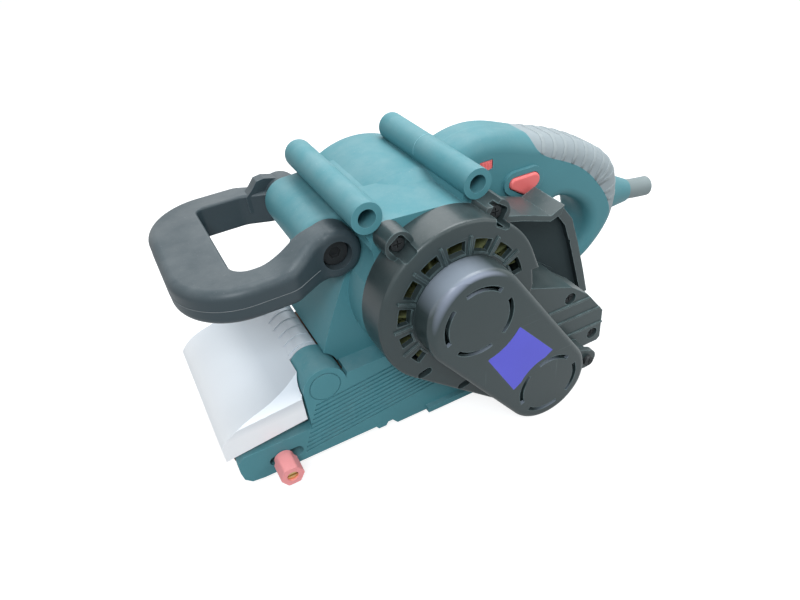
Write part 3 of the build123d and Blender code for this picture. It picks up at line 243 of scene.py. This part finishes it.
def moulded(name, color, rough=0.45, grain=2200.0, bump=0.10, drift=0.05, edge=0.4, edge_gain=2.0, width=0.5,
            dust=0.10, scuff=0.0, metallic=0.0, specular=0.5):
    """Moulded or cast finish: grain, pale edges (width in millimetres) that are partly wear and partly
    painted highlight, scuffs and dust in that order.
    """
    mat, tree, shader = new_material(name)
    pale = tuple(min(1.0, c * edge_gain + EDGE_PALE) for c in color)
    base = node(tree, "ShaderNodeGroup", node_tree=MOULDED)
    feed(tree, base, Color=(*color, 1.0), Variation=drift, Grain_Scale=grain)
    last = base.outputs["Color"]
    if edge:
        edge_wear_highlight = node(tree, "ShaderNodeGroup", node_tree=EDGE_WEAR_AND_HIGHLIGHT)
        feed(tree, edge_wear_highlight, Color=last, Edge_Color=(*pale, 1.0), Width=width * MM, Amount=edge)
        last = edge_wear_highlight.outputs["Color"]
    if scuff:
        marked = node(tree, "ShaderNodeGroup", node_tree=SCUFFS)
        feed(tree, marked, Color=last, Mark_Color=(*pale, 1.0), Amount=scuff)
        last = marked.outputs["Color"]
    dusted = node(tree, "ShaderNodeGroup", node_tree=DUST)
    feed(tree, dusted, Color=last, Amount=dust)
    raised = node(tree, "ShaderNodeBump")
    feed(tree, raised, Strength=bump, Distance=GRAIN_DEPTH * MM, Height=base.outputs["Height"])
    dulled = math_node(tree, "MULTIPLY_ADD", dusted.outputs["Mask"], DUST_DULL)
    dulled.node.inputs[2].default_value = rough
    uneven = math_node(tree, "MULTIPLY_ADD", base.outputs["Drift"], DRIFT_DULL)
    tree.links.new(dulled, uneven.node.inputs[2])
    feed(tree, shader, Base_Color=dusted.outputs["Color"], Roughness=uneven, Normal=raised.outputs["Normal"])
    feed(tree, shader, Metallic=metallic, Specular_IOR_Level=specular)
    mat.diffuse_color = (*color, 1.0)
    return mat


TEAL = moulded("teal_plastic", (0.087, 0.266, 0.303), rough=0.42, specular=0.24, bump=0.06, edge=0.35,
               edge_gain=1.7, width=0.7, dust=0.14, scuff=0.12)


# The strong pale edges of the black plastics are partly wear and partly a painted highlight along rims and
# rib edges.
def black_plastic(name, color):
    return moulded(name, color, rough=0.27, specular=0.50, grain=2600, bump=0.03, edge=0.75,
                   edge_gain=4.6, width=1.0, dust=0.06, scuff=0.18)


BLACK = black_plastic("black_plastic", (0.029, 0.046, 0.048))
# Black plastic of the belt cover, which carries a painted highlight on its wall top and shoulder
COVER_HIGHLIT = black_plastic("cover_plastic_painted_highlight", (0.031, 0.049, 0.051))
# The duct is a lighter copy of the black plastic: painted light for its lit top plate
DUCT_LIT = black_plastic("duct_plastic_painted_light", (0.044, 0.066, 0.068))
# Darker, duller copy of the duct plastic for the walls inside its mouth: painted shade
DUCT_SHADE = moulded("duct_inside_painted_shade", (0.034, 0.050, 0.054), rough=0.6, specular=0.15, edge=0.0, dust=0.03)
GREY = moulded("dark_grey_plastic", (0.044, 0.064, 0.074), rough=0.36, specular=0.34, grain=2600, bump=0.04,
               edge=0.4, edge_gain=2.6, width=0.8, dust=0.08, scuff=0.12)
RUBBER = moulded("grip_rubber", (0.33, 0.38, 0.40), rough=0.55, specular=0.3, bump=0.18, edge=0.3,
                 dust=0.06)
# The ribs are a little lighter than the grip rubber: a painted highlight on their raised tops
RIB_HIGHLIGHT = moulded("grip_rib_rubber_painted_highlight", (0.36, 0.41, 0.425), rough=0.55, specular=0.3, bump=0.18, edge=0.0,
              dust=0.06)
SLEEVE = moulded("sleeve_rubber", (0.23, 0.28, 0.285), rough=0.5, specular=0.3, edge=0.3)
SILVER = moulded("silver_cover", (0.59, 0.64, 0.69), rough=0.36, grain=3000, bump=0.05, drift=0.03, edge=0.5,
                 edge_gain=1.2, width=0.8, dust=0.02, scuff=0.10, metallic=0.12)
RED = moulded("red_plastic", (1.0, 0.20, 0.195), rough=0.35, bump=0.04, edge=0.35, edge_gain=1.3, dust=0.05)
KNOB_RED = moulded("knob_plastic", (1.0, 0.36, 0.36), rough=0.38, edge=0.4, edge_gain=1.3, dust=0.04)
BLUE = moulded("blue_plate", (0.125, 0.125, 0.72), rough=0.30, specular=0.3, bump=0.02, edge=0.0, dust=0.03,
               scuff=0.08)
STEEL = moulded("steel", (0.55, 0.56, 0.58), rough=0.35, bump=0.05, edge=0.2, metallic=1.0, dust=0.05)
DARK_STEEL = moulded("blacked_steel", (0.030, 0.034, 0.036), rough=0.42, bump=0.08, edge=0.5, edge_gain=3.0,
                     metallic=0.3, specular=0.3, dust=0.06)
BRASS = moulded("brass", (0.70, 0.52, 0.24), rough=0.30, bump=0.04, edge=0.2, metallic=1.0, dust=0.03)
ALUMINIUM = moulded("aluminium", (0.68, 0.69, 0.70), rough=0.35, bump=0.05, edge=0.2, metallic=1.0, dust=0.05)
BLACK_RUBBER = moulded("sleeve_black", (0.03, 0.03, 0.032), rough=0.6, edge=0.2)
ABRASIVE = moulded("abrasive", (0.28, 0.14, 0.07), rough=0.8, grain=3500, bump=0.8, drift=0.12, edge=0.0,
                   dust=0.02)
CUSHION = moulded("cushion", (0.06, 0.06, 0.062), rough=0.8, edge=0.0)
COPPER = moulded("windings", (0.55, 0.26, 0.10), rough=0.35, edge=0.0, metallic=0.9)
FAN = moulded("fan_plastic", (0.26, 0.29, 0.12), rough=0.45, edge=0.2)
CARBON = moulded("carbon", (0.03, 0.03, 0.03), rough=0.6, edge=0.3)
# Seams in lighter copies of the grey and teal plastics: a painted highlight along the seam ridges
SEAM_HIGHLIGHT = moulded("seam_grey_painted_highlight", (0.17, 0.195, 0.205), rough=0.45, edge=0.0, dust=0.05)
TEAL_SEAM_HIGHLIGHT = moulded("seam_teal_painted_highlight", (0.22, 0.47, 0.52), rough=0.42, edge=0.0, dust=0.05)


def base_color(mat):
    """The shader's colour socket of a finished material."""
    return [n for n in mat.node_tree.nodes if n.type == "BSDF_PRINCIPLED"][0].inputs["Base Color"]


def paint_highlight_by_lean(mat, toward, color, start, full):
    """Lift the colour where the surface leans one way: a painted highlight on the faces turned that way."""
    tree = mat.node_tree
    base = base_color(mat)
    lean = node(tree, "ShaderNodeVectorMath", operation="DOT_PRODUCT")
    tree.links.new(node(tree, "ShaderNodeNewGeometry").outputs["Normal"], lean.inputs[0])
    lean.inputs[1].default_value = Vector(toward).normalized()
    amount = remap(tree, lean.outputs["Value"], start, full)
    tree.links.new(mix_color(tree, amount, base.links[0].from_socket, (*color, 1.0)), base)


# Painted highlight on the belt cover, on top of its wall and on its shoulder
WALL_TOP_HIGHLIGHT = (0.35, 0.10, 0.93)
SHOULDER_HIGHLIGHT = (0.22, 0.74, 0.62)
paint_highlight_by_lean(COVER_HIGHLIT, WALL_TOP_HIGHLIGHT, (0.24, 0.28, 0.33), start=0.70, full=0.98)
paint_highlight_by_lean(COVER_HIGHLIT, SHOULDER_HIGHLIGHT, (0.24, 0.275, 0.35), start=0.82, full=0.98)


def paint_highlight_below(mat, color, start, full):
    """Lift the colour from one height (mm) down to another: a painted highlight on the lower band of a bent
    sheet.
    """
    tree = mat.node_tree
    base = base_color(mat)
    split = node(tree, "ShaderNodeSeparateXYZ")
    tree.links.new(node(tree, "ShaderNodeTexCoord").outputs["Object"], split.inputs[0])
    amount = remap(tree, split.outputs["Z"], start * MM, full * MM)
    tree.links.new(mix_color(tree, amount, base.links[0].from_socket, (*color, 1.0)), base)


# Painted highlight: the silver nose cover lighter towards its lower edge
paint_highlight_below(SILVER, (0.97, 0.985, 1.0), start=57.0, full=44.0)

BY_SLOT = {
    "teal_plastic": TEAL, "black_plastic": BLACK, "dark_grey_plastic": GREY, "grip_rubber": RUBBER,
    "sleeve_rubber": SLEEVE, "silver_cover": SILVER, "red_plastic": RED, "blue_plate": BLUE, "steel": STEEL,
    "brass": BRASS, "aluminium": ALUMINIUM, "sleeve_black": BLACK_RUBBER, "abrasive": ABRASIVE,
    "cushion": CUSHION, "windings": COPPER, "fan_plastic": FAN, "carbon": CARBON, "belt_rubber": BLACK_RUBBER,
}
BLACKED = ("housing_screws", "cover_screw", "duct_screws", "pivot_bolts", "handle_screws")


def dress_nodes():
    for entry in frame["record"]["subparts"]:
        mesh = NODES[entry["node"]].data
        mesh.materials.clear()
        mesh.materials.append(BY_SLOT[entry["material_slot"]])
    for name in BLACKED:
        NODES[name].data.materials[0] = DARK_STEEL
    NODES["tracking_knob"].data.materials[0] = KNOB_RED
    NODES["belt_cover"].data.materials[0] = COVER_HIGHLIT
    NODES["dust_duct"].data.materials[0] = DUCT_LIT


dress_nodes()

# Painted shade inside the duct: the duct's far wall and the inner sides of its top and rear walls, in
# millimetres
FAR_WALL = (29.0, 31.5)
REAR_RIM = 34.5
MOUTH_EDGE = 53.9
ROOF_LOW = 90.0


def paint_duct_shade():
    """The walls inside the duct's mouth get a darker, duller copy of the duct plastic: painted shade in the
    hollow.
    """
    mesh = NODES["dust_duct"].data
    mesh.materials.append(DUCT_SHADE)
    for face in mesh.polygons:
        depth = face.center.y / MM
        far = face.normal.y > 0.9 and FAR_WALL[0] < depth < FAR_WALL[1]
        rear = face.normal.x > 0.4 and depth < REAR_RIM and abs(face.normal.y) < 0.1
        under = face.normal.z < -0.4 and depth < MOUTH_EDGE and face.center.z > ROOF_LOW * MM
        if far or rear or under:
            face.material_index = 1


paint_duct_shade()


def add_piece(name, shape, material, body):
    """Finish a bmesh as an object at the origin that rides on a body."""
    mesh = bpy.data.meshes.new(name)
    shape.to_mesh(mesh)
    shape.free()
    mesh.materials.append(material)
    piece = bpy.data.objects.new(name, mesh)
    bpy.context.scene.collection.objects.link(piece)
    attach(piece, body)
    return piece


def cut_skin(node_name, cuts, keep):
    """Merged copy of a node's surface between cutting planes, as an open sheet."""
    shape = bmesh.new()
    shape.from_mesh(NODES[node_name].data)
    bmesh.ops.remove_doubles(shape, verts=shape.verts[:], dist=1e-6)
    for place, outward in cuts:
        everything = shape.verts[:] + shape.edges[:] + shape.faces[:]
        bmesh.ops.bisect_plane(
            shape, geom=everything, dist=1e-7, plane_co=place, plane_no=outward, clear_outer=True)
    spare = [face for face in shape.faces if not keep(face)]
    bmesh.ops.delete(shape, geom=spare, context="FACES")
    return shape


def raise_strip(piece, lift):
    """Give a strip of skin its thickness, outwards."""
    for face in piece.data.polygons:
        face.use_smooth = True
    wall = piece.modifiers.new("lift", "SOLIDIFY")
    wall.thickness = lift
    wall.offset = 1.0


# Cross ribs over the back of the grip, square to its curve, with a painted highlight in their lighter rubber;
# places and sizes in millimetres
GRIP_LINE = [(-124, 139.0), (-138, 134), (-158, 125), (-173, 116), (-183, 105), (-187.4, 92), (-188.2, 79)]
RIB_STEP = 9.0
RIB_WIDTH = 2.6
RIB_LIFT = 0.25
GRIP_MIDDLE = (-143, 3, 72)
GRIP_REACH = 40.0
GRIP_DEPTH = 16.0


def along(line, step):
    """Points at even steps along a polyline, with the direction of travel."""
    carried = 0.0
    for (x0, z0), (x1, z1) in zip(line, line[1:]):
        run = Vector((x1 - x0, 0.0, z1 - z0))
        while carried < run.length:
            yield Vector((x0, 0.0, z0)) + run.normalized() * carried, run.normalized()
            carried += step
        carried -= run.length


def make_grip_ribs():
    middle = Vector(GRIP_MIDDLE) * MM
    for count, (place, ahead) in enumerate(along(GRIP_LINE, RIB_STEP)):
        at = place * MM
        half = ahead * RIB_WIDTH / 2 * MM
        away = (at - middle).normalized()
        cuts = [(at + half, ahead), (at - half, -ahead), (at - away * GRIP_REACH * MM, -away)]
        core = Vector((at.x, middle.y, at.z)) - away * GRIP_DEPTH * MM

        def outer(face):
            return face.normal.dot(face.calc_center_median() - core) > 0

        shape = cut_skin("grip_skin", cuts, outer)
        piece = add_piece(f"grip_rib_{count + 1}", shape, RIB_HIGHLIGHT, "frame")
        raise_strip(piece, RIB_LIFT * MM)


make_grip_ribs()

# Moulding seams, round the bail's outer side and round the rear tube, painted much lighter than their parts
# as a highlight along the ridge; in millimetres
SEAM_WIDTH = 0.35
SEAM_LIFT = 0.15
BAIL_SEAM_Z = 121.0
BAIL_SEAM_RIGHT = -53.0
BAIL_SEAM_REAR = 28.0
BAIL_MIDDLE_X = 48.0
TUBE_SEAM_AT = (-53, 6, 146.5)
TUBE_REACH = 9.0
TUBE_BELOW = 1.0


def make_bail_seam():
    up = Vector((0, 0, 1))
    middle = Vector((BAIL_MIDDLE_X, 0, BAIL_SEAM_Z)) * MM
    half = up * SEAM_WIDTH / 2 * MM
    cuts = [(middle + half, up), (middle - half, -up)]
    cuts.append((Vector((BAIL_SEAM_REAR, 0, 0)) * MM, Vector((-1, 0, 0))))
    cuts.append((Vector((0, BAIL_SEAM_RIGHT, 0)) * MM, Vector((0, -1, 0))))

    def outer(face):
        return face.normal.dot(face.calc_center_median() - middle) > 0

    piece = add_piece("bail_seam", cut_skin("bail_handle", cuts, outer), SEAM_HIGHLIGHT, "bail")
    raise_strip(piece, SEAM_LIFT * MM)


make_bail_seam()


def make_tube_seam():
    side = Vector((0, 1, 0))
    down = Vector((0, 0, -1))
    middle = Vector(TUBE_SEAM_AT) * MM
    half = side * SEAM_WIDTH / 2 * MM
    cuts = [(middle + half, side), (middle - half, -side), (middle + down * TUBE_BELOW * MM, down)]
    for way in (Vector((-1, 0, 0)), Vector((1, 0, 0))):
        cuts.append((middle + way * TUBE_REACH * MM, way))

    def outer(face):
        centre = face.calc_center_median()
        return face.normal.dot(Vector((centre.x - middle.x, 0, centre.z - middle.z))) > 0

    piece = add_piece("tube_seam", cut_skin("motor_housing", cuts, outer), TEAL_SEAM_HIGHLIGHT, "frame")
    raise_strip(piece, SEAM_LIFT * MM)


make_tube_seam()


def make_pressed_spring():
    spring = bpy.data.objects.new("pressed_spring", NODES["tension_spring"].data.copy())
    bpy.context.scene.collection.objects.link(spring)
    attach(spring, "frame")
    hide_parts("tension_spring")
    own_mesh(spring)


make_pressed_spring()

# Floor and world show white to the camera, and the floor keeps the shadow
FLOOR_GLOW = 0.82
FLOOR_MIRRORED = 0.30
FLOOR_TONE = 0.42
FLOOR_HALF = 3.0
FLOOR_DROP = 0.4
SKY_SOFT = 0.38
SKY_TINT = (0.93, 0.97, 1.0, 1.0)


def seen_white(tree):
    """One for rays that show the surroundings: camera, glossy and transmission rays."""
    path = node(tree, "ShaderNodeLightPath").outputs
    mirrored = math_node(tree, "MAXIMUM", path["Is Camera Ray"], path["Is Glossy Ray"])
    return math_node(tree, "MAXIMUM", mirrored, path["Is Transmission Ray"])


def make_floor():
    mesh = bpy.data.meshes.new("floor")
    shape = bmesh.new()
    bmesh.ops.create_grid(shape, x_segments=1, y_segments=1, size=FLOOR_HALF)
    shape.to_mesh(mesh)
    shape.free()
    floor = bpy.data.objects.new("floor", mesh)
    floor.location.z = -FLOOR_DROP * MM
    bpy.context.scene.collection.objects.link(floor)
    mat = bpy.data.materials.new("pale_floor")
    mat.use_nodes = True
    tree = mat.node_tree
    tree.nodes.clear()
    out = node(tree, "ShaderNodeOutputMaterial")
    pale = node(tree, "ShaderNodeBsdfDiffuse")
    feed(tree, pale, Color=(FLOOR_TONE, FLOOR_TONE, FLOOR_TONE, 1.0))
    glow = node(tree, "ShaderNodeEmission")
    path = node(tree, "ShaderNodeLightPath").outputs
    mirrored = math_node(tree, "MULTIPLY", path["Is Glossy Ray"], FLOOR_MIRRORED)
    direct = math_node(tree, "MAXIMUM", path["Is Camera Ray"], path["Is Transmission Ray"])
    shown = math_node(tree, "MULTIPLY", direct, FLOOR_GLOW)
    feed(tree, glow, Strength=math_node(tree, "MAXIMUM", shown, mirrored))
    both = node(tree, "ShaderNodeAddShader")
    tree.links.new(pale.outputs[0], both.inputs[0])
    tree.links.new(glow.outputs[0], both.inputs[1])
    tree.links.new(both.outputs[0], out.inputs["Surface"])
    mesh.materials.append(mat)


make_floor()


def make_world():
    world = bpy.data.worlds.new("studio")
    bpy.context.scene.world = world
    world.use_nodes = True
    tree = world.node_tree
    tree.nodes.clear()
    out = node(tree, "ShaderNodeOutputWorld")
    soft = node(tree, "ShaderNodeBackground")
    feed(tree, soft, Color=SKY_TINT, Strength=SKY_SOFT)
    white = node(tree, "ShaderNodeBackground")
    feed(tree, white, Color=(1.0, 1.0, 1.0, 1.0), Strength=1.0)
    mix = node(tree, "ShaderNodeMixShader")
    tree.links.new(seen_white(tree), mix.inputs["Fac"])
    tree.links.new(soft.outputs[0], mix.inputs[1])
    tree.links.new(white.outputs[0], mix.inputs[2])
    tree.links.new(mix.outputs[0], out.inputs["Surface"])


make_world()


def area_light(name, place, aim, size, power, color=(1, 1, 1)):
    """Square lamp in metres and watts, turned to its aim."""
    data = bpy.data.lights.new(name, "AREA")
    data.shape = "SQUARE"
    data.size = size
    data.energy = power
    data.color = color
    lamp = bpy.data.objects.new(name, data)
    lamp.location = place
    lamp.rotation_euler = (Vector(aim) - Vector(place)).to_track_quat("-Z", "Y").to_euler()
    bpy.context.scene.collection.objects.link(lamp)


area_light("overhead", (-0.36, -0.10, 1.05), (-0.05, 0.02, 0.1), size=0.6, power=7.5, color=(0.95, 0.98, 1.0))
area_light("back", (-0.35, -0.75, 0.9), (-0.05, 0, 0.1), size=0.9, power=4.0, color=(0.93, 0.97, 1.0))
area_light("front", (0.36, 0.66, 0.84), (0.0, 0, 0.08), size=0.34, power=5.4, color=(0.90, 0.95, 1.0))
area_light("fill", (-0.65, 0.8, 0.6), (-0.1, 0.03, 0.08), size=0.7, power=2.2)

bpy.context.scene.view_settings.view_transform = "Standard"
